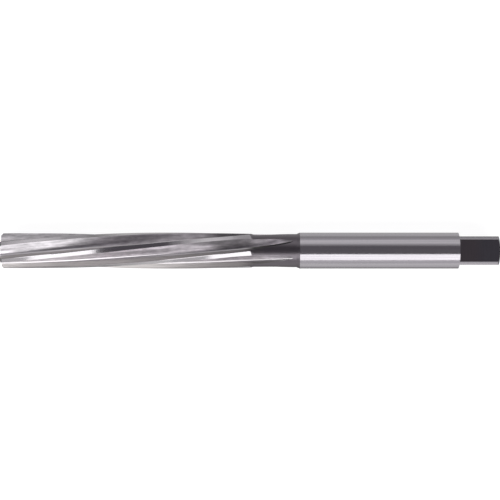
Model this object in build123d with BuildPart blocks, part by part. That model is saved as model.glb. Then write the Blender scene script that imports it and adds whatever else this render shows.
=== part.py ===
"""Hand reamer with six left-hand helical flutes and a square drive, ground from one bar of steel.

The tool lies as it would on a bench, with its axis along X and its cutting end at -X. The origin is
under the middle of its length, on the surface that it lies on. Two flats of the square face up and
down. Stations are measured along the axis from the cutting end, and a turn is an angle about the
axis, from straight up towards -Y. Sizes are in millimetres and degrees.
"""
import os
from math import cos, radians, sin

from build123d import *

# Lengths along the axis
overall_length = 124.0
cutting_length = 62.0
lead_length = 20.0
neck_end = 74.4
square_length = 10.0

# Diameters
cutting_diameter = 9.0
front_diameter = 8.7
neck_diameter = 8.3
shank_diameter = 9.0

# Bevels and chamfers
front_chamfer = 0.45
tooth_bevel = 0.8
shank_bevel = 0.8
end_chamfer_length = 0.5
end_chamfer_depth = 0.85

# Square drive
across_flats = 7.1

# Teeth and flutes
flute_count = 6
helix_lead = 251.0
core_diameter = 6.0
root_radius = 0.8
margin_angle = 1.9
land_angle = 14.5
clearance_angle = 12.0

# Run-out of the flutes in the neck, where the grinding wheel leaves the cut
wheel_diameter = 78.0
runout_start = 63.4
runout_length = 10.4
runout_tilt = 30.0
runout_sections = 5

# Centre holes
centre_angle = 60.0
shank_pilot_diameter = 1.6
shank_centre_diameter = 3.35
shank_pilot_depth = 3.4
tip_pilot_diameter = 1.25
tip_centre_diameter = 2.65
tip_pilot_depth = 2.8

# How far a cutter stands clear of what it cuts
clear = 1.0

shank_radius = shank_diameter / 2
cutting_radius = cutting_diameter / 2
neck_radius = neck_diameter / 2
tooth_pitch = 360 / flute_count
tool_axis = Axis((0, 0, shank_radius), (1, 0, 0))


def station(x, turn=0.0):
    """Plane square to the axis at a station, with its y direction out at a turn."""
    return Plane(
        origin=(x - overall_length / 2, 0, shank_radius),
        x_dir=(0, cos(radians(turn)), sin(radians(turn))),
        z_dir=(1, 0, 0),
    )


def edge_turn(x):
    """Turn of the cutting edge that faces straight up where the cutting part ends."""
    return (cutting_length - x) * 360 / helix_lead


def polar(radius, angle):
    """Point of a station's plane at an angle behind its y direction."""
    return Vector(-radius * sin(radians(angle)), radius * cos(radians(angle)))


def axis_path(x_from, x_to):
    """Straight stretch of the axis between two stations."""
    return Line(station(x_from).origin, station(x_to).origin, mode=Mode.PRIVATE)


def twist_guide(x_from, x_to):
    """Helix that turns a profile about the axis from one station to another."""
    return Edge.make_helix(
        helix_lead, x_to - x_from, cutting_radius + clear, station(x_from).origin, (1, 0, 0), lefthand=True
    )


# Blank: the turned and ground outline of the whole tool, drawn through a corner of the square
with BuildPart() as blank:
    with BuildSketch(Plane(origin=station(0).origin, x_dir=(1, 0, 0), z_dir=(0, -1, 1))):
        with BuildLine():
            Polyline(
                (0, 0),
                (0, front_diameter / 2 - front_chamfer),
                (front_chamfer, front_diameter / 2),
                (lead_length, cutting_radius),
                (cutting_length, cutting_radius),
                (cutting_length + tooth_bevel, neck_radius),
                (neck_end - shank_bevel, neck_radius),
                (neck_end, shank_radius),
                (overall_length - end_chamfer_length, shank_radius),
                (overall_length, shank_radius - end_chamfer_depth),
                (overall_length, 0),
                close=True,
            )
        make_face()
    revolve(axis=tool_axis)

# Land: behind its narrow margin it falls away from the circle by the clearance angle, to its heel
land_normal = margin_angle + clearance_angle
land_distance = cutting_radius * cos(radians(clearance_angle))
heel_radius = land_distance / cos(radians(land_angle - land_normal))

# Flute: its floor runs from the heel to the face of the next tooth, which is radial
root_point = Vector(0, core_diameter / 2)
heel_point = polar(heel_radius, land_angle - tooth_pitch)
floor_direction = (heel_point - root_point).normalized()
floor_end = heel_point + floor_direction * (clear + cutting_radius - heel_radius)
mouth_point = Vector(0, cutting_radius + 2 * clear)


def flute_profile(x, lift=0.0):
    """Section of a flute at a station, drawn back out of the cut by a lift."""
    shift = polar(lift, -runout_tilt)
    with BuildSketch(station(x, edge_turn(x))) as profile:
        with BuildLine():
            Polyline(root_point + shift, floor_end + shift, mouth_point + shift, close=True)
        make_face()
        fillet(profile.vertices(Select.ALL).sort_by_distance(root_point + shift)[:1], root_radius)
    return profile.sketch


def land_profile(x, scale_to=1.0):
    """Section of what is ground off a land, for a tooth of full size or less."""
    along = polar(1, land_normal + 90)
    out = polar(1, land_normal)
    margin_point = polar(cutting_radius, margin_angle) * scale_to
    before = margin_point - along * clear / 2
    behind = polar(heel_radius, land_angle) * scale_to + along * clear / 3
    with BuildSketch(station(x, edge_turn(x))) as profile:
        with BuildLine():
            Polyline(before, behind, behind + out * clear, before + out * clear, close=True)
        make_face()
    return profile.sketch


with BuildPart() as flute:
    add(flute_profile(-clear))
    sweep(path=axis_path(-clear, runout_start), binormal=twist_guide(-clear, runout_start))

with BuildPart() as runout:
    for step in range(runout_sections):
        along_cut = runout_length * step / (runout_sections - 1)
        add(flute_profile(runout_start + along_cut, along_cut**2 / wheel_diameter))
    loft()

land_end = cutting_length + tooth_bevel
with BuildPart() as parallel_land:
    add(land_profile(lead_length))
    sweep(path=axis_path(lead_length, land_end), binormal=twist_guide(lead_length, land_end))

with BuildPart() as lead_land:
    front_scale = (front_diameter / 2) / cutting_radius
    add(land_profile(0, front_scale))
    add(land_profile(lead_length))
    sweep(path=axis_path(0, lead_length), multisection=True, binormal=twist_guide(0, lead_length))

# Square: what is milled off the end of the shank to leave the four flats
with BuildPart() as square_cut:
    with BuildSketch(station(overall_length - square_length)):
        Circle(shank_radius + clear)
        Rectangle(across_flats, across_flats, mode=Mode.SUBTRACT)
    extrude(amount=square_length + clear)

with BuildPart() as reamer:
    add(blank.part)
    for tooth in range(flute_count):
        for cutter in (flute, runout, parallel_land, lead_land):
            add(cutter.part.rotate(tool_axis, tooth * tooth_pitch), mode=Mode.SUBTRACT)
    add(square_cut.part, mode=Mode.SUBTRACT)
    with Locations(station(overall_length)):
        CounterSinkHole(
            shank_pilot_diameter / 2, shank_centre_diameter / 2, shank_pilot_depth, centre_angle
        )
    with Locations(-station(0)):
        CounterSinkHole(tip_pilot_diameter / 2, tip_centre_diameter / 2, tip_pilot_depth, centre_angle)

reamer.part.label = "reamer"
os.makedirs("parts", exist_ok=True)
export_step(reamer.part, "parts/reamer.step")
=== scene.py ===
"""Hand reamer with left-hand helical flutes, its ground steel finishes, its light and its camera.

The tool lies along X with its cutting end at -X and its square at +X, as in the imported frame. Sizes
are in metres. A station is a distance along the axis from the cutting end, and a turn is an angle
about the axis, from straight up towards -Y. A section is drawn in a tooth's own frame: its y direction
runs out through the cutting edge, and its x direction points ahead of the tooth's face.
"""
import math

import bmesh
import bpy
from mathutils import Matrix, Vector


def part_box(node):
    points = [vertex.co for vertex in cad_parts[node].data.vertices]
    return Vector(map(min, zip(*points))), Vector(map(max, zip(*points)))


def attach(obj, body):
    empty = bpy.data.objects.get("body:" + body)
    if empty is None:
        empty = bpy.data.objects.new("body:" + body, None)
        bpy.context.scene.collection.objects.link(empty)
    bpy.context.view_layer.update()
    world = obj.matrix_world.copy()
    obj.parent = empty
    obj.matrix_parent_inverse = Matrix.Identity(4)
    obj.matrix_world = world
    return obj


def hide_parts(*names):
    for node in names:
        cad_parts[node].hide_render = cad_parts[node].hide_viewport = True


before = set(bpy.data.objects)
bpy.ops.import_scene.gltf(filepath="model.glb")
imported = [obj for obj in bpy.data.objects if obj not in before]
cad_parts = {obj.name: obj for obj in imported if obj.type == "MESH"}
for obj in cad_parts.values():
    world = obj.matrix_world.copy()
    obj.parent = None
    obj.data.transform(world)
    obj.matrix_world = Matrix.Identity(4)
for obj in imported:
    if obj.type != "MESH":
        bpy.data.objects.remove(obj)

bl_info = {
    "name": "Hand reamer",
    "version": (1, 0, 0),
    "blender": (4, 5, 0),
    "location": "3D View > Sidebar > Reamer",
    "description": "Grinds a hand reamer with helical flutes and lights it on a pale table",
    "category": "Object",
}

MILLIMETRE = 0.001
LOW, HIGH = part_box("reamer")
LENGTH = HIGH.x - LOW.x
RADIUS = (HIGH.z - LOW.z) / 2
AXIS = Vector((0, 0, (LOW.z + HIGH.z) / 2))
ALONG = Vector((1, 0, 0))

# How far a cutter stands clear of what it cuts
CLEAR = 1 * MILLIMETRE
# Corners closer than this are one corner
SAME_PLACE = 1e-7
# What a cut leaves shorter than this is merged, so that the next cut meets a sound surface
CRUMB = 2e-6
# Faces round the turned blank, and round a centre hole
BLANK_STEPS = 240
CENTRE_STEPS = 64
# Faces that meet at less than this are shaded as one surface
SMOOTH_ANGLE = math.radians(5)

# A ramp holds levels up to one, so levels that go higher are kept in it divided by this
LEVEL_REACH = 4
# Most of a grain's values lie between these
GRAIN_LOW = 0.3
GRAIN_HIGH = 0.7

# Strip lights: how far they hang from the tool, and how long they are
STRIP_DISTANCE = 0.7
STRIP_LENGTH = 2.0
# Their power for each square metre, at which they glow as bright as white
POWER_OF_WHITE = 4

# The table's top lies this far under the tool, so that the two don't share a surface
TABLE_GAP = 0.02 * MILLIMETRE
# How far the table's levels reach to each side of the tool
TABLE_REACH = 80 * MILLIMETRE

# The photograph's frame: how much of the table its width takes in at the height of the tool's axis,
# and how far its middle lies from the axis, towards the far side
FRAME_WIDTH = 0.125
FRAME_OFFSET = 0.15 * MILLIMETRE
SENSOR_WIDTH = 36.0


class ReamerSettings(bpy.types.PropertyGroup):
    """Sizes of the tool."""

    cutting_length: bpy.props.FloatProperty(
        name="Cutting length", description="Length of the fluted end", default=0.062, unit="LENGTH"
    )
    lead_length: bpy.props.FloatProperty(
        name="Lead length", description="Length over which the front tapers", default=0.020, unit="LENGTH"
    )
    front_diameter: bpy.props.FloatProperty(
        name="Front diameter", description="Diameter where the lead begins", default=0.0087, unit="LENGTH"
    )
    front_chamfer: bpy.props.FloatProperty(
        name="Front chamfer", description="Chamfer of the front end", default=0.00045, unit="LENGTH"
    )
    neck_diameter: bpy.props.FloatProperty(
        name="Neck diameter", description="Diameter of the relieved neck", default=0.0083, unit="LENGTH"
    )
    neck_end: bpy.props.FloatProperty(
        name="Neck end", description="Station where the full shank begins", default=0.0744, unit="LENGTH"
    )
    neck_bevel: bpy.props.FloatProperty(
        name="Neck bevel", description="Length of the bevel at each end of the neck", default=0.0008,
        unit="LENGTH",
    )
    end_chamfer_length: bpy.props.FloatProperty(
        name="End chamfer length", description="Along the axis, at the square's end", default=0.0005,
        unit="LENGTH",
    )
    end_chamfer_depth: bpy.props.FloatProperty(
        name="End chamfer depth", description="Across the axis, at the square's end", default=0.00085,
        unit="LENGTH",
    )
    across_flats: bpy.props.FloatProperty(
        name="Across flats", description="Size of the square drive", default=0.0071, unit="LENGTH"
    )
    square_length: bpy.props.FloatProperty(
        name="Square length", description="Length of the square drive", default=0.010, unit="LENGTH"
    )
    flutes: bpy.props.IntProperty(name="Flutes", description="Number of flutes and teeth", default=6)
    helix_lead: bpy.props.FloatProperty(
        name="Helix lead", description="Length in which a flute turns once round", default=0.251,
        unit="LENGTH",
    )
    heel_tilt: bpy.props.FloatProperty(
        name="Heel tilt", description="Slope of the flute's floor at its heel",
        default=math.radians(15.0), subtype="ANGLE",
    )
    middle_tilt: bpy.props.FloatProperty(
        name="Middle tilt", description="Slope of the floor where its hollow begins",
        default=math.radians(6.0), subtype="ANGLE",
    )
    foot_tilt: bpy.props.FloatProperty(
        name="Foot tilt", description="Slope of the floor where the tooth's rounded foot begins",
        default=math.radians(-15.0), subtype="ANGLE",
    )
    face_lean: bpy.props.FloatProperty(
        name="Face lean", description="How far the foot of a tooth's face stands ahead of its edge",
        default=math.radians(12.0), subtype="ANGLE",
    )
    hollow_radius: bpy.props.FloatProperty(
        name="Hollow radius", description="Radius of the floor's hollow beside the foot",
        default=0.0021, unit="LENGTH",
    )
    root_radius: bpy.props.FloatProperty(
        name="Root radius", description="Radius of the foot of the tooth's face", default=0.00058,
        unit="LENGTH",
    )
    margin_angle: bpy.props.FloatProperty(
        name="Margin", description="Width of the round margin behind a cutting edge",
        default=math.radians(1.9), subtype="ANGLE",
    )
    land_angle: bpy.props.FloatProperty(
        name="Land", description="Width of margin and land together", default=math.radians(14.5),
        subtype="ANGLE",
    )
    clearance_angle: bpy.props.FloatProperty(
        name="Clearance", description="How steeply the land falls behind its margin",
        default=math.radians(15.0), subtype="ANGLE",
    )
    front_clearance_angle: bpy.props.FloatProperty(
        name="Front clearance", description="How steeply the land falls at the front end",
        default=math.radians(9.0), subtype="ANGLE",
    )
    runout_start: bpy.props.FloatProperty(
        name="Run-out start", description="Station where the flutes begin to rise", default=0.0560,
        unit="LENGTH",
    )
    runout_length: bpy.props.FloatProperty(
        name="Run-out length", description="Length over which the flutes rise", default=0.0178,
        unit="LENGTH",
    )
    runout_tilt: bpy.props.FloatProperty(
        name="Run-out tilt", description="Direction in which the wheel leaves the flute",
        default=math.radians(30.0), subtype="ANGLE",
    )
    wheel_diameter: bpy.props.FloatProperty(
        name="Wheel diameter", description="Sets how fast the flutes rise in their run-out",
        default=0.212, unit="LENGTH",
    )
    shank_centre_diameter: bpy.props.FloatProperty(
        name="Shank centre", description="Mouth of the centre hole in the square's end",
        default=0.00335, unit="LENGTH",
    )
    tip_centre_diameter: bpy.props.FloatProperty(
        name="Front centre", description="Mouth of the centre hole in the front end",
        default=0.00265, unit="LENGTH",
    )


class SteelSettings(bpy.types.PropertyGroup):
    """Colours and roughness of the ground steel."""

    shank_colour: bpy.props.FloatVectorProperty(
        name="Shank", description="Reflection colour of the ground shank", subtype="COLOR",
        default=(0.432, 0.412, 0.438),
    )
    land_colour: bpy.props.FloatVectorProperty(
        name="Lands", description="Reflection colour of the ground lands", subtype="COLOR",
        default=(0.47, 0.452, 0.465),
    )
    bright_flute_colour: bpy.props.FloatVectorProperty(
        name="Bright flutes", description="Reflection colour of the flutes behind the front end",
        subtype="COLOR", default=(0.45, 0.432, 0.448),
    )
    # Darker than the bright flutes: partly a rougher, duller finish and partly painted shade
    dull_flute_colour: bpy.props.FloatVectorProperty(
        name="Dull flutes", description="Reflection colour of the flutes further back",
        subtype="COLOR", default=(0.25, 0.233, 0.248),
    )
    # Lighter than ground steel can be: a painted highlight along the feet of the teeth
    root_colour: bpy.props.FloatVectorProperty(
        name="Feet of the teeth", description="Reflection colour under the teeth's faces",
        subtype="COLOR", default=(0.80, 0.77, 0.785),
    )
    # Warm grey, made lighter than the lands as painted light on the teeth's faces
    face_colour: bpy.props.FloatVectorProperty(
        name="Tooth faces", description="Reflection colour of the teeth's faces", subtype="COLOR",
        default=(0.63, 0.60, 0.585),
    )
    neck_colour: bpy.props.FloatVectorProperty(
        name="Neck", description="Reflection colour of the darkened neck", subtype="COLOR",
        default=(0.14, 0.126, 0.14),
    )
    flat_colour: bpy.props.FloatVectorProperty(
        name="Square", description="Reflection colour of the milled square", subtype="COLOR",
        default=(0.262, 0.244, 0.258),
    )
    shank_roughness: bpy.props.FloatProperty(
        name="Shank roughness", description="Of the cylinder ground round the shank",
        default=0.15, subtype="FACTOR",
    )
    land_roughness: bpy.props.FloatProperty(
        name="Land roughness", description="Of the teeth's ground lands",
        default=0.15, subtype="FACTOR",
    )
    bright_flute_roughness: bpy.props.FloatProperty(
        name="Bright flute roughness", description="Of the flutes behind the front end",
        default=0.37, subtype="FACTOR",
    )
    dull_flute_roughness: bpy.props.FloatProperty(
        name="Dull flute roughness", description="Of the flutes further back",
        default=0.48, subtype="FACTOR",
    )
    face_roughness: bpy.props.FloatProperty(
        name="Face roughness", description="Of the teeth's faces",
        default=0.5, subtype="FACTOR",
    )
    neck_roughness: bpy.props.FloatProperty(
        name="Neck roughness", description="Of the darkened neck",
        default=0.31, subtype="FACTOR",
    )
    flat_roughness: bpy.props.FloatProperty(
        name="Square roughness", description="Of the milled square and the ends",
        default=0.2, subtype="FACTOR",
    )


class StageSettings(bpy.types.PropertyGroup):
    """Camera, light and table."""

    camera_distance: bpy.props.FloatProperty(
        name="Camera distance", description="From the tool's axis up to the camera", default=0.375,
        unit="LENGTH",
    )
    table_width: bpy.props.FloatProperty(
        name="Table width", description="Side of the square table top", default=5.0, unit="LENGTH"
    )
    surround: bpy.props.FloatProperty(
        name="Surround", description="Brightness of the dark room that the steel reflects", default=0.12
    )
    softbox_glow: bpy.props.FloatProperty(
        name="Softbox", description="Brightness of the softbox on the near side", default=1.68
    )
    fill_glow: bpy.props.FloatProperty(
        name="Fill", description="Brightness of the fill below the softbox", default=0.5
    )
    panel_glow: bpy.props.FloatProperty(
        name="Panel", description="Brightness of the pale panel on the far side", default=0.66
    )


def polar(radius, angle):
    """Point of a tooth's section at an angle behind its cutting edge."""
    return Vector((-radius * math.sin(angle), radius * math.cos(angle)))


def edge_turn(tool, station):
    """Turn of the cutting edge that faces straight up where the cutting part ends."""
    return (tool.cutting_length - station) * 2 * math.pi / tool.helix_lead


def put(station, point, turn=0.0):
    """Place in space of a section's point, at a station and a turn."""
    across = point.x * math.cos(turn) - point.y * math.sin(turn)
    up = point.x * math.sin(turn) + point.y * math.cos(turn)
    return Vector((LOW.x + station, across, AXIS.z + up))


def start_mesh(name):
    """New object in edit mode, whose mesh is one corner at the origin."""
    bpy.ops.object.select_all(action="DESELECT")
    bpy.ops.mesh.primitive_plane_add(size=MILLIMETRE, location=(0, 0, 0))
    piece = bpy.context.object
    piece.name = name
    bpy.ops.object.mode_set(mode="EDIT")
    bpy.ops.mesh.select_mode(type="VERT")
    bpy.ops.mesh.select_all(action="SELECT")
    bpy.ops.mesh.merge(type="CENTER")
    return piece


def draw_line(points):
    """Moves the one corner to the first point and extrudes it through the others."""
    bpy.ops.transform.translate(value=points[0])
    for start, end in zip(points, points[1:]):
        bpy.ops.mesh.extrude_vertices_move(TRANSFORM_OT_translate={"value": end - start})


def close_face():
    """Fills the drawn line and selects the face."""
    bpy.ops.mesh.select_all(action="SELECT")
    bpy.ops.mesh.edge_face_add()
    bpy.ops.mesh.select_all(action="SELECT")


def hollow(start, radius, tilt_from, tilt_to, steps):
    """Points of a hollow arc in a section, which leaves its start at one tilt and ends at another."""
    centre = start + radius * Vector((-math.sin(tilt_from), math.cos(tilt_from)))
    points = []
    for i in range(1, steps + 1):
        tilt = tilt_from + (tilt_to - tilt_from) * i / steps
        points.append(centre + radius * Vector((math.sin(tilt), -math.cos(tilt))))
    return points


def select_faces(test=None):
    """Selects the faces whose centre passes the test, or all of them."""
    bpy.ops.mesh.select_mode(type="FACE")
    bpy.ops.mesh.select_all(action="DESELECT")
    mesh = bpy.context.object.data
    shape = bmesh.from_edit_mesh(mesh)
    for face in shape.faces:
        if test is None or test(face.calc_center_median()):
            face.select_set(True)
    bmesh.update_edit_mesh(mesh)


def finish_faces(piece, material, test=None):
    """Gives a material to the faces whose centre passes the test, or to all of them."""
    if material.name not in piece.data.materials:
        piece.data.materials.append(material)
    select_faces(test)
    piece.active_material_index = piece.data.materials.find(material.name)
    bpy.ops.object.material_slot_assign()


def sweep(tool, stations, lifts=None, scales=None, leans=None, pivot=None):
    """Extrudes the selected face along the helix, from station to station.

    On the way the section can rise as the wheel leaves its cut, grow, and lean about a pivot.
    """
    for i in range(1, len(stations)):
        step = stations[i] - stations[i - 1]
        turn = edge_turn(tool, stations[i])
        bpy.ops.mesh.extrude_region_move(TRANSFORM_OT_translate={"value": step * ALONG})
        bpy.ops.transform.rotate(
            value=step * 2 * math.pi / tool.helix_lead, orient_axis="X", center_override=AXIS
        )
        if lifts and lifts[i] > lifts[i - 1]:
            rise = polar(lifts[i] - lifts[i - 1], -tool.runout_tilt)
            bpy.ops.transform.translate(value=put(0, rise, turn) - put(0, Vector((0, 0)), turn))
        if scales and scales[i] != scales[i - 1]:
            ratio = scales[i] / scales[i - 1]
            bpy.ops.transform.resize(value=(1, ratio, ratio), center_override=AXIS)
        if leans and leans[i] != leans[i - 1]:
            centre = put(stations[i], pivot * scales[i], turn)
            bpy.ops.transform.rotate(
                value=leans[i - 1] - leans[i], orient_axis="X", center_override=centre
            )


def turn_round(steps):
    """Spins the drawn line once round the axis into a closed shape."""
    bpy.ops.mesh.select_all(action="SELECT")
    bpy.ops.mesh.spin(steps=steps, angle=2 * math.pi, center=AXIS, axis=ALONG)
    bpy.ops.mesh.select_all(action="SELECT")
    bpy.ops.mesh.remove_doubles(threshold=SAME_PLACE)


def copy_round(count):
    """Points the faces outwards, copies the whole mesh round the axis and leaves edit mode."""
    bpy.ops.mesh.select_all(action="SELECT")
    bpy.ops.mesh.normals_make_consistent(inside=False)
    if count > 1:
        turn = 2 * math.pi * (count - 1) / count
        bpy.ops.mesh.spin(steps=count - 1, dupli=True, angle=turn, center=AXIS, axis=ALONG)
    bpy.ops.object.mode_set(mode="OBJECT")


def cut_away(tool_body, cutter):
    """Cuts the cutter out of the body, leaving the cutter's finishes on what it cut."""
    bpy.ops.object.select_all(action="DESELECT")
    tool_body.select_set(True)
    bpy.context.view_layer.objects.active = tool_body
    cut = tool_body.modifiers.new("cut", "BOOLEAN")
    cut.operation = "DIFFERENCE"
    cut.object = cutter
    cut.solver = "EXACT"
    cut.material_mode = "TRANSFER"
    bpy.ops.object.modifier_apply(modifier=cut.name)
    bpy.data.objects.remove(cutter)
    bpy.ops.object.mode_set(mode="EDIT")
    bpy.ops.mesh.select_mode(type="VERT")
    bpy.ops.mesh.select_all(action="SELECT")
    bpy.ops.mesh.remove_doubles(threshold=CRUMB)
    bpy.ops.mesh.select_all(action="SELECT")
    bpy.ops.mesh.dissolve_degenerate(threshold=CRUMB)
    bpy.ops.object.mode_set(mode="OBJECT")


def turned_blank(tool, finishes):
    """The whole tool's turned outline, before its flutes and flats are cut."""
    bevel = tool.neck_bevel
    neck_radius = tool.neck_diameter / 2
    chamfer = tool.front_chamfer
    outline = (
        (0, 0),
        (0, tool.front_diameter / 2 - chamfer),
        (chamfer, tool.front_diameter / 2),
        (tool.lead_length, RADIUS),
        (tool.cutting_length, RADIUS),
        (tool.cutting_length + bevel, neck_radius),
        (tool.neck_end - bevel, neck_radius),
        (tool.neck_end, RADIUS),
        (LENGTH - tool.end_chamfer_length, RADIUS),
        (LENGTH, RADIUS - tool.end_chamfer_depth),
        (LENGTH, 0),
    )
    blank = start_mesh("reamer_body")
    draw_line([put(station, Vector((0, radius))) for station, radius in outline])
    turn_round(BLANK_STEPS)
    neck_from = LOW.x + tool.cutting_length
    neck_to = LOW.x + tool.neck_end
    square_end = HIGH.x - tool.end_chamfer_length
    finish_faces(blank, finishes["shank"], lambda centre: centre.x > neck_to)
    finish_faces(blank, finishes["margin"], lambda centre: centre.x < neck_from)
    finish_faces(blank, finishes["neck"], lambda centre: neck_from < centre.x < neck_to)
    finish_faces(blank, finishes["end"], lambda centre: centre.x > square_end)
    copy_round(1)
    return blank


def tooth_stations(tool):
    """Stations along the teeth, from clear of the front to the end of the lands, a step apart."""
    start = -CLEAR
    land_end = tool.cutting_length + tool.neck_bevel
    lead_steps = 21
    body_steps = 43
    stations = [start + (tool.lead_length - start) * i / lead_steps for i in range(lead_steps + 1)]
    for i in range(1, body_steps + 1):
        stations.append(tool.lead_length + (land_end - tool.lead_length) * i / body_steps)
    return stations


def heel_point(tool):
    """Where the land meets the floor of the flute behind it, in a tooth's section."""
    land_normal = tool.margin_angle + tool.clearance_angle
    heel_radius = RADIUS * math.cos(tool.clearance_angle) / math.cos(tool.land_angle - land_normal)
    return polar(heel_radius, tool.land_angle)


def flute_section(tool):
    """Section of a flute from its heel: the floor, its hollow, the foot and the tooth's face.

    The heel belongs to the tooth ahead. The floor's own radius follows from the rest, so that the face
    runs up to the cutting edge.
    """
    heel = polar(heel_point(tool).length, tool.land_angle - 2 * math.pi / tool.flutes)
    face_tilt = tool.face_lean - math.pi / 2
    origin = Vector((0, 0))
    hollow_part = hollow(origin, tool.hollow_radius, tool.middle_tilt, tool.foot_tilt, 1)[-1]
    foot_part = hollow(origin, tool.root_radius, tool.foot_tilt, face_tilt, 1)[-1]
    floor_part = hollow(origin, 1, tool.heel_tilt, tool.middle_tilt, 1)[-1]
    rest = heel + hollow_part + foot_part
    slope = math.tan(tool.face_lean)
    floor_radius = ((RADIUS - rest.y) * slope - rest.x) / (floor_part.x + floor_part.y * slope)
    floor_steps, hollow_steps, foot_steps = 8, 10, 12
    floor = hollow(heel, floor_radius, tool.heel_tilt, tool.middle_tilt, floor_steps)
    beside = hollow(floor[-1], tool.hollow_radius, tool.middle_tilt, tool.foot_tilt, hollow_steps)
    foot = hollow(beside[-1], tool.root_radius, tool.foot_tilt, face_tilt, foot_steps)
    over_heel = heel + 1.2 * CLEAR * Vector((math.cos(tool.heel_tilt), math.sin(tool.heel_tilt)))
    over_edge = Vector((0, RADIUS)) + polar(2 * CLEAR, tool.face_lean)
    return [over_heel, heel] + floor + beside + foot + [over_edge]


def wheel_lift(tool, station):
    """How far the grinding wheel has risen out of its cut at a station."""
    along = max(0, station - tool.runout_start)
    return along * along / tool.wheel_diameter


def flute_cutter(tool, finishes):
    """What the grinding wheel takes out of all the flutes, with their run-outs in the neck."""
    stations = [station for station in tooth_stations(tool) if station < tool.runout_start]
    stations.append(tool.runout_start)
    start = stations[0]
    turn = edge_turn(tool, start)
    section = flute_section(tool)
    root_top = section[-2]
    root_width = tool.root_radius * (math.cos(tool.face_lean) + math.sin(tool.foot_tilt))
    face_slack = 0.01 * MILLIMETRE
    cutter = start_mesh("flute_cutter")
    draw_line([put(start, point, turn) for point in section])
    close_face()
    runout_steps = 26
    for i in range(1, runout_steps + 1):
        stations.append(tool.runout_start + tool.runout_length * i / runout_steps)
    sweep(tool, stations, lifts=[wheel_lift(tool, station) for station in stations])

    def in_section(centre):
        """Where a place lies in the flute's section, across and out."""
        station = centre.x - LOW.x
        shift = polar(wheel_lift(tool, station), -tool.runout_tilt)
        turn = edge_turn(tool, station)
        across = centre.y * math.cos(turn) + (centre.z - AXIS.z) * math.sin(turn) - shift.x
        out = -centre.y * math.sin(turn) + (centre.z - AXIS.z) * math.cos(turn) - shift.y
        return across, out

    def on_face(centre):
        """Whether a place lies on the tooth's face."""
        across, out = in_section(centre)
        face = (RADIUS - out) * math.tan(tool.face_lean)
        return across < face + face_slack and out > root_top.y

    def at_root(centre):
        """Whether a place lies in the rounded foot of the tooth's face."""
        return in_section(centre)[0] < root_top.x + root_width

    finish_faces(cutter, finishes["flute"])
    finish_faces(cutter, finishes["root"], at_root)
    finish_faces(cutter, finishes["face"], on_face)
    copy_round(tool.flutes)
    return cutter


def land_cutter(tool, finishes):
    """What is ground off behind the margin of every tooth, less steeply towards the front."""
    land_normal = tool.margin_angle + tool.front_clearance_angle
    heel = heel_point(tool)
    back = polar(1, land_normal + math.pi / 2)
    out = polar(1, land_normal)
    pivot = polar(RADIUS, tool.margin_angle)
    before = pivot - back * CLEAR / 2
    behind = pivot + back * ((heel - pivot).length + CLEAR / 3)
    corners = (before, behind, behind + out * CLEAR, before + out * CLEAR)
    front_scale = tool.front_diameter / 2 / RADIUS
    growth = (1 - front_scale) / tool.lead_length
    start = -CLEAR
    start_scale = front_scale + growth * start
    cutter = start_mesh("land_cutter")
    draw_line([put(start, corner * start_scale, edge_turn(tool, start)) for corner in corners])
    close_face()
    stations = tooth_stations(tool)
    scales = [min(1, front_scale + growth * station) for station in stations]
    extra = tool.clearance_angle - tool.front_clearance_angle
    leans = [extra * max(0, min(1, station / tool.lead_length)) for station in stations]
    sweep(tool, stations, scales=scales, leans=leans, pivot=pivot)
    finish_faces(cutter, finishes["land"])
    copy_round(tool.flutes)
    return cutter


def square_cutter(tool, finishes):
    """What is milled off the end of the shank to leave the four flats."""
    length = tool.square_length + CLEAR
    width = 2 * RADIUS + 2 * CLEAR
    depth = RADIUS + CLEAR - tool.across_flats / 2
    flat = Vector((HIGH.x + (CLEAR - tool.square_length) / 2, 0, AXIS.z + tool.across_flats / 2))
    bpy.ops.object.select_all(action="DESELECT")
    bpy.ops.mesh.primitive_plane_add(size=1, location=flat)
    cutter = bpy.context.object
    cutter.name = "square_cutter"
    bpy.ops.object.transform_apply(location=True)
    bpy.ops.object.mode_set(mode="EDIT")
    bpy.ops.mesh.select_all(action="SELECT")
    bpy.ops.transform.resize(value=(length, width, 1), center_override=flat)
    bpy.ops.mesh.extrude_region_move(TRANSFORM_OT_translate={"value": (0, 0, depth)})
    finish_faces(cutter, finishes["flat"])
    copy_round(4)
    return cutter


def centre_cutter(finishes, station, inward, mouth_diameter):
    """A centre drill's pilot and 60 degree cone, pushed into one end of the tool."""
    cone_slope = math.sqrt(3)
    pilot_share = 0.475
    depth_share = 1.05
    mouth = mouth_diameter / 2
    pilot = pilot_share * mouth
    cone = (mouth - pilot) * cone_slope
    depth = depth_share * mouth_diameter
    wide = mouth + CLEAR / cone_slope
    profile = ((-CLEAR, 0), (-CLEAR, wide), (cone, pilot), (depth, pilot), (depth + pilot / 2, 0))
    cutter = start_mesh("centre_drill")
    draw_line([put(station + inward * along, Vector((0, radius))) for along, radius in profile])
    turn_round(CENTRE_STEPS)
    finish_faces(cutter, finishes["centre"])
    copy_round(1)
    return cutter


def nodes_of(block):
    """Node tree of a material or a world, emptied."""
    block.use_nodes = True
    block.node_tree.nodes.clear()
    return block.node_tree


def steel(name, colour, roughness, metallic=1.0):
    """Plain steel, with its node tree and its shader."""
    material = bpy.data.materials.new(name)
    tree = nodes_of(material)
    shader = tree.nodes.new("ShaderNodeBsdfPrincipled")
    shader.inputs["Base Color"].default_value = (*colour, 1)
    shader.inputs["Metallic"].default_value = metallic
    shader.inputs["Roughness"].default_value = roughness
    output = tree.nodes.new("ShaderNodeOutputMaterial")
    tree.links.new(shader.outputs["BSDF"], output.inputs["Surface"])
    return material, tree, shader


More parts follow.
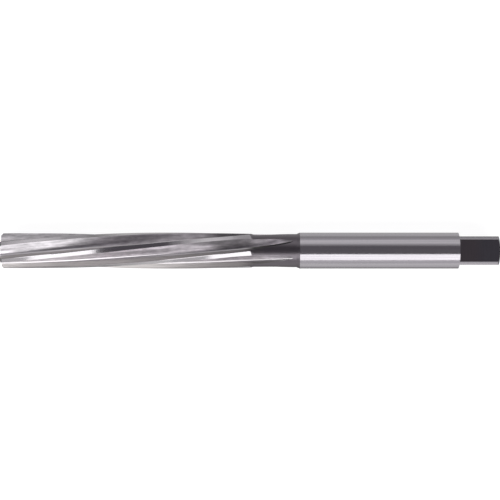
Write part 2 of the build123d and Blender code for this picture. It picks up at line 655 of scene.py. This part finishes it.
def place_on_tool(tree):
    """Socket with a place on the tool, measured from the middle of its axis."""
    coordinates = tree.nodes.new("ShaderNodeTexCoord")
    mapping = tree.nodes.new("ShaderNodeMapping")
    mapping.vector_type = "POINT"
    mapping.inputs["Location"].default_value = -AXIS
    tree.links.new(coordinates.outputs["Object"], mapping.inputs["Vector"])
    return mapping.outputs["Vector"]


def along_tool(tree, place):
    """Socket with the part of a place that lies along the axis."""
    split = tree.nodes.new("ShaderNodeSeparateXYZ")
    tree.links.new(place, split.inputs["Vector"])
    return split.outputs["X"]


def across_tool(tree, place):
    """Socket with the part of a place that lies across the axis, positive on the far side."""
    split = tree.nodes.new("ShaderNodeSeparateXYZ")
    tree.links.new(place, split.inputs["Vector"])
    return split.outputs["Y"]


def off_axis(tree, place):
    """Socket with the distance of a place from the axis."""
    across = tree.nodes.new("ShaderNodeVectorMath")
    across.operation = "MULTIPLY"
    across.inputs[1].default_value = (0, 1, 1)
    tree.links.new(place, across.inputs[0])
    length = tree.nodes.new("ShaderNodeVectorMath")
    length.operation = "LENGTH"
    tree.links.new(across.outputs[0], length.inputs[0])
    return length.outputs["Value"]


def untwisted(tree, place, helix_lead):
    """Socket with the place turned back by the helix, so that a pattern runs along the flutes."""
    turn = tree.nodes.new("ShaderNodeMath")
    turn.operation = "MULTIPLY"
    turn.inputs[1].default_value = 2 * math.pi / helix_lead
    tree.links.new(along_tool(tree, place), turn.inputs[0])
    rotate = tree.nodes.new("ShaderNodeVectorRotate")
    rotate.rotation_type = "X_AXIS"
    tree.links.new(place, rotate.inputs["Vector"])
    tree.links.new(turn.outputs[0], rotate.inputs["Angle"])
    return rotate.outputs["Vector"]


def grain(tree, place, length, width, detail=3.0):
    """Socket with noise whose marks have a length along the axis and a width across it."""
    mapping = tree.nodes.new("ShaderNodeMapping")
    mapping.inputs["Scale"].default_value = (1 / length, 1 / width, 1 / width)
    noise = tree.nodes.new("ShaderNodeTexNoise")
    noise.inputs["Scale"].default_value = 1.0
    noise.inputs["Detail"].default_value = detail
    tree.links.new(place, mapping.inputs["Vector"])
    tree.links.new(mapping.outputs["Vector"], noise.inputs["Vector"])
    return noise.outputs["Fac"]


def spread(tree, value, low, high, start=0.0, end=1.0):
    """Socket with a value's stretch from start to end drawn out to low and high."""
    node = tree.nodes.new("ShaderNodeMapRange")
    node.inputs["From Min"].default_value = start
    node.inputs["From Max"].default_value = end
    node.inputs["To Min"].default_value = low
    node.inputs["To Max"].default_value = high
    tree.links.new(value, node.inputs["Value"])
    return node.outputs["Result"]


def times(tree, first, second):
    """Socket with the product of two values."""
    node = tree.nodes.new("ShaderNodeMath")
    node.operation = "MULTIPLY"
    tree.links.new(first, node.inputs[0])
    tree.links.new(second, node.inputs[1])
    return node.outputs[0]


def fall_to(tree, value, start, end, level):
    """Socket that is one up to a value's start and reaches a level, itself a socket, at its end."""
    node = tree.nodes.new("ShaderNodeMapRange")
    node.inputs["From Min"].default_value = start
    node.inputs["From Max"].default_value = end
    node.inputs["To Min"].default_value = 1.0
    tree.links.new(value, node.inputs["Value"])
    tree.links.new(level, node.inputs["To Max"])
    return node.outputs["Result"]


def ramp(tree, value, stops):
    """Socket with a colour that changes along a value, from stop to stop."""
    node = tree.nodes.new("ShaderNodeValToRGB")
    tree.links.new(value, node.inputs["Fac"])
    elements = node.color_ramp.elements
    while len(elements) < len(stops):
        elements.new(1.0)
    for element, (position, colour) in zip(elements, stops):
        element.position = position
        element.color = (*colour, 1)
    return node.outputs["Color"]


def tones(colour, stops):
    """Stops of a ramp, at each of which a colour is made lighter or darker by a share."""
    return [(position, tuple(share * value for value in colour)) for position, share in stops]


def grained(tree, marks, colour, dark, light):
    """Socket with a colour that a grain's marks make darker and lighter."""
    return ramp(tree, marks, tones(colour, ((GRAIN_LOW, dark), (GRAIN_HIGH, light))))


def level_along(tree, value, stops):
    """Socket with a level that changes along a value, from stop to stop."""
    kept = ramp(tree, value, tones((1 / LEVEL_REACH,) * 3, stops))
    return spread(tree, kept, 0, LEVEL_REACH)


def shade(tree, colour, value):
    """Socket with a colour made lighter or darker by a value."""
    node = tree.nodes.new("ShaderNodeVectorMath")
    node.operation = "SCALE"
    tree.links.new(colour, node.inputs[0])
    tree.links.new(value, node.inputs["Scale"])
    return node.outputs[0]


def add_relief(tree, shader, height, depth):
    """Bump of a depth on a shader."""
    bump = tree.nodes.new("ShaderNodeBump")
    bump.inputs["Strength"].default_value = 1.0
    bump.inputs["Distance"].default_value = depth
    tree.links.new(height, bump.inputs["Height"])
    tree.links.new(bump.outputs["Normal"], shader.inputs["Normal"])


def shank_finish(settings):
    """Cylinder ground round, with faint rings and a slow waviness along it."""
    colour = settings.shank_colour
    roughness = settings.shank_roughness
    material, tree, shader = steel("shank_steel", colour, roughness, metallic=0.9)
    place = place_on_tool(tree)
    waves = grain(tree, place, length=12 * MILLIMETRE, width=6 * MILLIMETRE, detail=1.0)
    add_relief(tree, shader, waves, depth=0.02 * MILLIMETRE)
    streaks = grain(tree, place, length=45 * MILLIMETRE, width=0.35 * MILLIMETRE)
    tone = grained(tree, streaks, colour, dark=0.92, light=1.06)
    tree.links.new(tone, shader.inputs["Base Color"])
    rings = grain(tree, place, length=0.4 * MILLIMETRE, width=3 * MILLIMETRE)
    tree.links.new(spread(tree, rings, 0.8 * roughness, 1.2 * roughness), shader.inputs["Roughness"])
    return material


def land_finish(settings, tool, name, front_painted_shade):
    """Smooth land or margin with faint marks along it, darker at the very front as painted shade."""
    colour = settings.land_colour
    roughness = settings.land_roughness
    material, tree, shader = steel(name, colour, roughness)
    place = place_on_tool(tree)
    straight = untwisted(tree, place, tool.helix_lead)
    marks = grain(tree, straight, length=6 * MILLIMETRE, width=0.3 * MILLIMETRE)
    tree.links.new(spread(tree, marks, 0.7 * roughness, 1.3 * roughness), shader.inputs["Roughness"])
    tone = grained(tree, marks, colour, dark=0.95, light=1.05)
    # Painted shade at the very front, where the margin loses the softbox's reflection
    dark_end = LOW.x + 3 * MILLIMETRE
    light_start = LOW.x + 6.5 * MILLIMETRE
    front = spread(tree, along_tool(tree, place), front_painted_shade, 1, start=dark_end, end=light_start)
    tree.links.new(shade(tree, tone, front), shader.inputs["Base Color"])
    return material


def painted_heel_light(tree, place, station):
    """Socket with a painted highlight and painted shade on the floor beside its heel, on top of the tool.
    """
    # Along the tool, levels above one are a painted highlight and levels below one are painted shade
    heel_light_levels = (
        (0.0, 1.48),
        (0.12, 1.44),
        (0.2, 1.2),
        (0.26, 1.0),
        (0.36, 1.0),
        (0.42, 2.0),
        (0.47, 2.4),
        (0.55, 2.12),
        (0.62, 1.0),
        (0.67, 0.52),
        (0.71, 0.52),
        (0.75, 1.0),
        (0.87, 1.0),
        (0.91, 1.48),
        (0.96, 1.0),
    )
    across = across_tool(tree, place)
    at_heel = spread(tree, off_axis(tree, place), 0, 1, start=3.4 * MILLIMETRE, end=4.3 * MILLIMETRE)
    on_top = spread(tree, across, 0, 1, start=3.2 * MILLIMETRE, end=2.2 * MILLIMETRE)
    off_near_side = spread(tree, across, 1, 0, start=-0.5 * MILLIMETRE, end=-1.5 * MILLIMETRE)
    share = times(tree, times(tree, at_heel, on_top), off_near_side)
    return fall_to(tree, share, 0, 1, level_along(tree, station, heel_light_levels))


def painted_side_light(tree, place, station):
    """Socket that darkens or brightens the floors that face the near side, as painted light and shade."""
    # Levels of the painted light and shade on the near side, along the tool
    side_light_levels = (
        (0.25, 1.32),
        (0.34, 1.52),
        (0.5, 1.0),
        (0.62, 0.8),
        (0.73, 3.8),
        (0.8, 3.6),
        (0.86, 1.6),
        (0.93, 0.68),
    )
    level = level_along(tree, station, side_light_levels)
    return fall_to(tree, across_tool(tree, place), 1.5 * MILLIMETRE, -2.0 * MILLIMETRE, level)


def flute_finish(settings, tool):
    """Flute's floor: bright and streaked behind the front end, dull and mottled further back, with
    painted light and shade along the tool, beside its heel and on the near side.
    """
    bright = settings.bright_flute_colour
    bright_roughness = settings.bright_flute_roughness
    dull = settings.dull_flute_colour
    dull_roughness = settings.dull_flute_roughness
    bright_tones = ((0.0, 1.35), (0.06, 1.0), (0.28, 1.0))
    # Along the tool the floor's tone rises and falls as painted light and shade
    dull_tones_and_painted_light = (
        (0.34, 1.7),
        (0.52, 1.6),
        (0.62, 1.6),
        (0.68, 1.1),
        (0.73, 0.45),
        (0.79, 0.45),
        (0.83, 0.8),
        (0.86, 1.6),
        (0.93, 2.4),
        (0.965, 1.0),
    )
    material, tree, shader = steel("flute_steel", dull, dull_roughness)
    place = place_on_tool(tree)
    straight = untwisted(tree, place, tool.helix_lead)
    station = spread(tree, along_tool(tree, place), 0, 1, start=LOW.x, end=LOW.x + tool.neck_end)
    tone = ramp(tree, station, tones(bright, bright_tones) + tones(dull, dull_tones_and_painted_light))
    streaks = grain(tree, straight, length=9 * MILLIMETRE, width=0.55 * MILLIMETRE)
    mottle = grain(tree, straight, length=1.8 * MILLIMETRE, width=0.7 * MILLIMETRE)
    streak_tone = spread(tree, streaks, 0.75, 1.25, start=GRAIN_LOW, end=GRAIN_HIGH)
    mottle_tone = spread(tree, mottle, 0.8, 1.2, start=GRAIN_LOW, end=GRAIN_HIGH)
    mixed = times(tree, streak_tone, mottle_tone)
    mixed = times(tree, mixed, painted_side_light(tree, place, station))
    mixed = times(tree, mixed, painted_heel_light(tree, place, station))
    tree.links.new(shade(tree, tone, mixed), shader.inputs["Base Color"])
    rough_stops = ((0.0, bright_roughness), (0.27, bright_roughness), (0.35, dull_roughness))
    tree.links.new(ramp(tree, station, tones((1, 1, 1), rough_stops)), shader.inputs["Roughness"])
    add_relief(tree, shader, streaks, depth=0.012 * MILLIMETRE)
    return material


def neck_shade(tree, place, tool, start, near, far):
    """Socket that falls from one on the teeth to the level of the near or the far side in the neck."""
    across = across_tool(tree, place)
    level = spread(tree, across, near, far, start=-2.0 * MILLIMETRE, end=1.5 * MILLIMETRE)
    neck_start = LOW.x + tool.cutting_length + 1 * MILLIMETRE
    return fall_to(tree, along_tool(tree, place), LOW.x + start, neck_start, level)


def root_finish(settings, tool):
    """Rounded foot of a tooth's face, smoother than the floor beside it, with painted shade on the far
    side and in the neck.
    """
    colour = settings.root_colour
    material, tree, shader = steel("root_steel", colour, settings.bright_flute_roughness)
    place = place_on_tool(tree)
    straight = untwisted(tree, place, tool.helix_lead)
    streaks = grain(tree, straight, length=7 * MILLIMETRE, width=0.4 * MILLIMETRE)
    tone = grained(tree, streaks, colour, dark=0.8, light=1.1)
    along = along_tool(tree, place)
    across = across_tool(tree, place)
    station_tone = spread(tree, along, 1, 0.7, start=LOW.x + 0.6 * tool.cutting_length, end=0)
    # Painted shade on the far side of the tool
    far_side_painted_shade = spread(tree, across, 1, 0.6, start=0.3 * MILLIMETRE, end=1.3 * MILLIMETRE)
    # Painted shade where the foot runs out into the neck
    shade_start = tool.cutting_length - 1 * MILLIMETRE
    neck_painted_shade = neck_shade(tree, place, tool, shade_start, near=0.85, far=0.07)
    mixed = times(tree, times(tree, station_tone, neck_painted_shade), far_side_painted_shade)
    tree.links.new(shade(tree, tone, mixed), shader.inputs["Base Color"])
    return material


def face_finish(settings, tool):
    """Tooth's face, ground across its edge and warm grey, with painted shade beside its edge at the front
    and towards the neck.
    """
    colour = settings.face_colour
    material, tree, shader = steel("face_steel", colour, settings.face_roughness, metallic=0.25)
    place = place_on_tool(tree)
    straight = untwisted(tree, place, tool.helix_lead)
    marks = grain(tree, straight, length=5 * MILLIMETRE, width=0.5 * MILLIMETRE)
    tone = grained(tree, marks, colour, dark=0.85, light=1.05)
    along = along_tool(tree, place)
    station_tone = spread(tree, along, 1.05, 0.7, start=LOW.x + 0.4 * tool.cutting_length, end=0)
    # Painted shade where the face runs out into the neck
    shade_start = tool.cutting_length - 3 * MILLIMETRE
    neck_painted_shade = neck_shade(tree, place, tool, shade_start, near=0.45, far=0.15)
    # Painted shade along the cutting edge, strongest at the front
    front = LOW.x + 10 * MILLIMETRE
    behind = LOW.x + 18 * MILLIMETRE
    painted_edge_shade_level = spread(tree, along, 0.3, 0.8, start=front, end=behind)
    inside = RADIUS - 0.4 * MILLIMETRE
    edge = RADIUS - 0.15 * MILLIMETRE
    painted_edge_shade = fall_to(tree, off_axis(tree, place), inside, edge, painted_edge_shade_level)
    mixed = times(tree, times(tree, station_tone, neck_painted_shade), painted_edge_shade)
    tree.links.new(shade(tree, tone, mixed), shader.inputs["Base Color"])
    return material


def neck_finish(settings):
    """Turned neck, left dark, with faint rings."""
    roughness = settings.neck_roughness
    material, tree, shader = steel("neck_steel", settings.neck_colour, roughness, metallic=0.9)
    rings = grain(tree, place_on_tool(tree), length=0.25 * MILLIMETRE, width=5 * MILLIMETRE)
    tree.links.new(spread(tree, rings, 0.92 * roughness, 1.08 * roughness), shader.inputs["Roughness"])
    return material


def flat_finish(settings, tool, name):
    """Milled flat or end, dark, warmer towards the shank and cooler towards its end."""
    material, tree, shader = steel(name, settings.flat_colour, settings.flat_roughness)
    place = place_on_tool(tree)
    red, green, blue = settings.flat_colour
    warm = (red, 0.97 * green, 0.95 * blue)
    cool = (0.95 * red, green, 1.03 * blue)
    square_start = HIGH.x - tool.square_length
    station = spread(tree, along_tool(tree, place), 0, 1, start=square_start, end=HIGH.x)
    tone = ramp(tree, station, ((0.35, warm), (0.6, cool)))
    marks = grain(tree, place, length=0.3 * MILLIMETRE, width=4 * MILLIMETRE)
    mark_tone = spread(tree, marks, 0.94, 1.06, start=GRAIN_LOW, end=GRAIN_HIGH)
    tree.links.new(shade(tree, tone, mark_tone), shader.inputs["Base Color"])
    return material


def steel_finishes(settings, tool):
    """Every finish of the tool, by the name that the cutters use."""
    return {
        "shank": shank_finish(settings),
        "margin": land_finish(settings, tool, "margin_steel", front_painted_shade=0.35),
        "land": land_finish(settings, tool, "land_steel", front_painted_shade=1.0),
        "face": face_finish(settings, tool),
        "flute": flute_finish(settings, tool),
        "root": root_finish(settings, tool),
        "neck": neck_finish(settings),
        "flat": flat_finish(settings, tool, "flat_steel"),
        "end": flat_finish(settings, tool, "end_steel"),
        "centre": flat_finish(settings, tool, "centre_steel"),
    }


class REAMER_OT_grind(bpy.types.Operator):
    """Turn the blank, grind the flutes and lands, mill the square and drill the centres"""

    bl_idname = "reamer.grind"
    bl_label = "Grind the reamer"

    def execute(self, context):
        tool = context.scene.reamer_tool
        finishes = steel_finishes(context.scene.reamer_steel, tool)
        body = turned_blank(tool, finishes)
        cut_away(body, flute_cutter(tool, finishes))
        cut_away(body, land_cutter(tool, finishes))
        cut_away(body, square_cutter(tool, finishes))
        cut_away(body, centre_cutter(finishes, LENGTH, -1, tool.shank_centre_diameter))
        cut_away(body, centre_cutter(finishes, 0, 1, tool.tip_centre_diameter))
        bpy.ops.object.shade_smooth_by_angle(angle=SMOOTH_ANGLE)
        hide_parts("reamer")
        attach(body, "root")
        return {"FINISHED"}


def camera_mix(tree):
    """Mix of two shaders, of which the steel reflects the first and the second is seen."""
    path = tree.nodes.new("ShaderNodeLightPath")
    mix = tree.nodes.new("ShaderNodeMixShader")
    tree.links.new(path.outputs["Is Camera Ray"], mix.inputs[0])
    return mix


def table_paper():
    """White paper, which the steel reflects with a painted shadow along the tool's foot and painted
    dimming towards the far side.
    """
    paper = bpy.data.materials.new("table_paper")
    tree = nodes_of(paper)
    coordinates = tree.nodes.new("ShaderNodeTexCoord")
    across = across_tool(tree, coordinates.outputs["Object"])
    share = spread(tree, across, 0, 1, start=-TABLE_REACH, end=TABLE_REACH)
    # What the steel reflects: a painted shadow along the tool's foot and painted dimming on the far side
    painted_reflection_levels = (
        (0.0, 0.95),
        (0.34, 0.93),
        (0.406, 0.76),
        (0.425, 0.6),
        (0.445, 0.36),
        (0.5, 0.2),
        (0.53, 0.45),
        (0.55, 0.66),
        (0.575, 0.76),
        (0.606, 0.79),
        (0.675, 0.58),
        (0.875, 0.43),
        (1.0, 0.41),
    )
    reflected = tree.nodes.new("ShaderNodeEmission")
    glow = ramp(tree, share, tones((1, 1, 1), painted_reflection_levels))
    tree.links.new(glow, reflected.inputs["Color"])
    seen = tree.nodes.new("ShaderNodeBsdfPrincipled")
    seen.inputs["Base Color"].default_value = (0.3, 0.3, 0.3, 1)
    seen.inputs["Roughness"].default_value = 1
    seen.inputs["Specular IOR Level"].default_value = 0
    seen.inputs["Emission Color"].default_value = (1, 1, 1, 1)
    seen.inputs["Emission Strength"].default_value = 0.9
    mix = camera_mix(tree)
    tree.links.new(reflected.outputs[0], mix.inputs[1])
    tree.links.new(seen.outputs[0], mix.inputs[2])
    output = tree.nodes.new("ShaderNodeOutputMaterial")
    tree.links.new(mix.outputs[0], output.inputs["Surface"])
    return paper


def lay_table(width):
    """Square table top, just under the tool."""
    bpy.ops.mesh.primitive_plane_add(size=width, location=(0, 0, -TABLE_GAP))
    table = bpy.context.object
    table.name = "table"
    table.data.materials.append(table_paper())


def strip_light(name, angle_from, angle_to, glow):
    """Long light beside the tool, between two angles in degrees from straight up towards -Y."""
    middle = math.radians((angle_from + angle_to) / 2)
    half = math.radians((angle_to - angle_from) / 2)
    width = 2 * STRIP_DISTANCE * math.tan(half)
    place = (0, -STRIP_DISTANCE * math.sin(middle), AXIS.z + STRIP_DISTANCE * math.cos(middle))
    bpy.ops.object.light_add(type="AREA", location=place, rotation=(middle, 0, 0))
    light = bpy.context.object
    light.name = name
    light.data.shape = "RECTANGLE"
    light.data.size = STRIP_LENGTH
    light.data.size_y = width
    light.data.energy = POWER_OF_WHITE * glow * STRIP_LENGTH * width
    light.visible_camera = False


def studio_world(surround):
    """Dim, cool room that the steel reflects, which is white where it is seen."""
    world = bpy.data.worlds.new("studio")
    bpy.context.scene.world = world
    tree = nodes_of(world)
    mix = camera_mix(tree)
    dusk = (1.05, 0.97, 1.12)
    white = (1, 1, 1)
    for socket, tint, glow in ((1, dusk, surround), (2, white, 1.0)):
        background = tree.nodes.new("ShaderNodeBackground")
        background.inputs["Color"].default_value = (*tint, 1)
        background.inputs["Strength"].default_value = glow
        tree.links.new(background.outputs[0], mix.inputs[socket])
    output = tree.nodes.new("ShaderNodeOutputWorld")
    tree.links.new(mix.outputs[0], output.inputs["Surface"])


def hang_camera(distance):
    """Camera that looks straight down on the tool, with the photograph's frame."""
    place = (0, FRAME_OFFSET, AXIS.z + distance)
    bpy.ops.object.camera_add(location=place, rotation=(0, 0, 0))
    camera = bpy.context.object
    camera.name = "camera"
    camera.data.sensor_width = SENSOR_WIDTH
    camera.data.lens = SENSOR_WIDTH * distance / FRAME_WIDTH
    camera.data.clip_start = 0.01
    camera.data.dof.use_dof = False
    bpy.context.scene.camera = camera


class REAMER_OT_stage(bpy.types.Operator):
    """Set the tool on a pale table under soft light, with the camera straight above it"""

    bl_idname = "reamer.stage"
    bl_label = "Set the stage"

    def execute(self, context):
        settings = context.scene.reamer_stage
        panel = settings.panel_glow
        lay_table(settings.table_width)
        strip_light("softbox", 23.5, 63.5, settings.softbox_glow)
        strip_light("fill", 64.5, 91, settings.fill_glow)
        strip_light("panel", -67, -52, panel)
        strip_light("panel_top", -52, -45, 0.85 * panel)
        strip_light("panel_rim", -45, -38, 0.6 * panel)
        strip_light("panel_edge", -38, -30, 0.28 * panel)
        strip_light("panel_bottom", -75, -67, 0.85 * panel)
        strip_light("panel_foot", -91, -75, 0.5 * panel)
        studio_world(settings.surround)
        hang_camera(settings.camera_distance)
        context.scene.view_settings.view_transform = "Standard"
        context.scene.view_settings.look = "None"
        return {"FINISHED"}


class REAMER_PT_panel(bpy.types.Panel):
    """Sidebar panel with the tool's settings and steps"""

    bl_idname = "REAMER_PT_panel"
    bl_label = "Hand reamer"
    bl_space_type = "VIEW_3D"
    bl_region_type = "UI"
    bl_category = "Reamer"

    def draw(self, context):
        scene = context.scene
        for settings in (scene.reamer_tool, scene.reamer_steel, scene.reamer_stage):
            for name in settings.__annotations__:
                self.layout.prop(settings, name)
        for operator in (REAMER_OT_grind, REAMER_OT_stage):
            self.layout.operator(operator.bl_idname)


CLASSES = (
    ReamerSettings,
    SteelSettings,
    StageSettings,
    REAMER_OT_grind,
    REAMER_OT_stage,
    REAMER_PT_panel,
)


def register():
    """Adds the panel, its steps and their settings."""
    for cls in CLASSES:
        bpy.utils.register_class(cls)
    bpy.types.Scene.reamer_tool = bpy.props.PointerProperty(type=ReamerSettings)
    bpy.types.Scene.reamer_steel = bpy.props.PointerProperty(type=SteelSettings)
    bpy.types.Scene.reamer_stage = bpy.props.PointerProperty(type=StageSettings)


def unregister():
    """Takes away what register added."""
    del bpy.types.Scene.reamer_stage
    del bpy.types.Scene.reamer_steel
    del bpy.types.Scene.reamer_tool
    for cls in reversed(CLASSES):
        bpy.utils.unregister_class(cls)


def main():
    """Makes the tool and its stage."""
    register()
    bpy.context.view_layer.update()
    bpy.ops.reamer.grind()
    bpy.ops.reamer.stage()


if __name__ == "__main__":
    main()
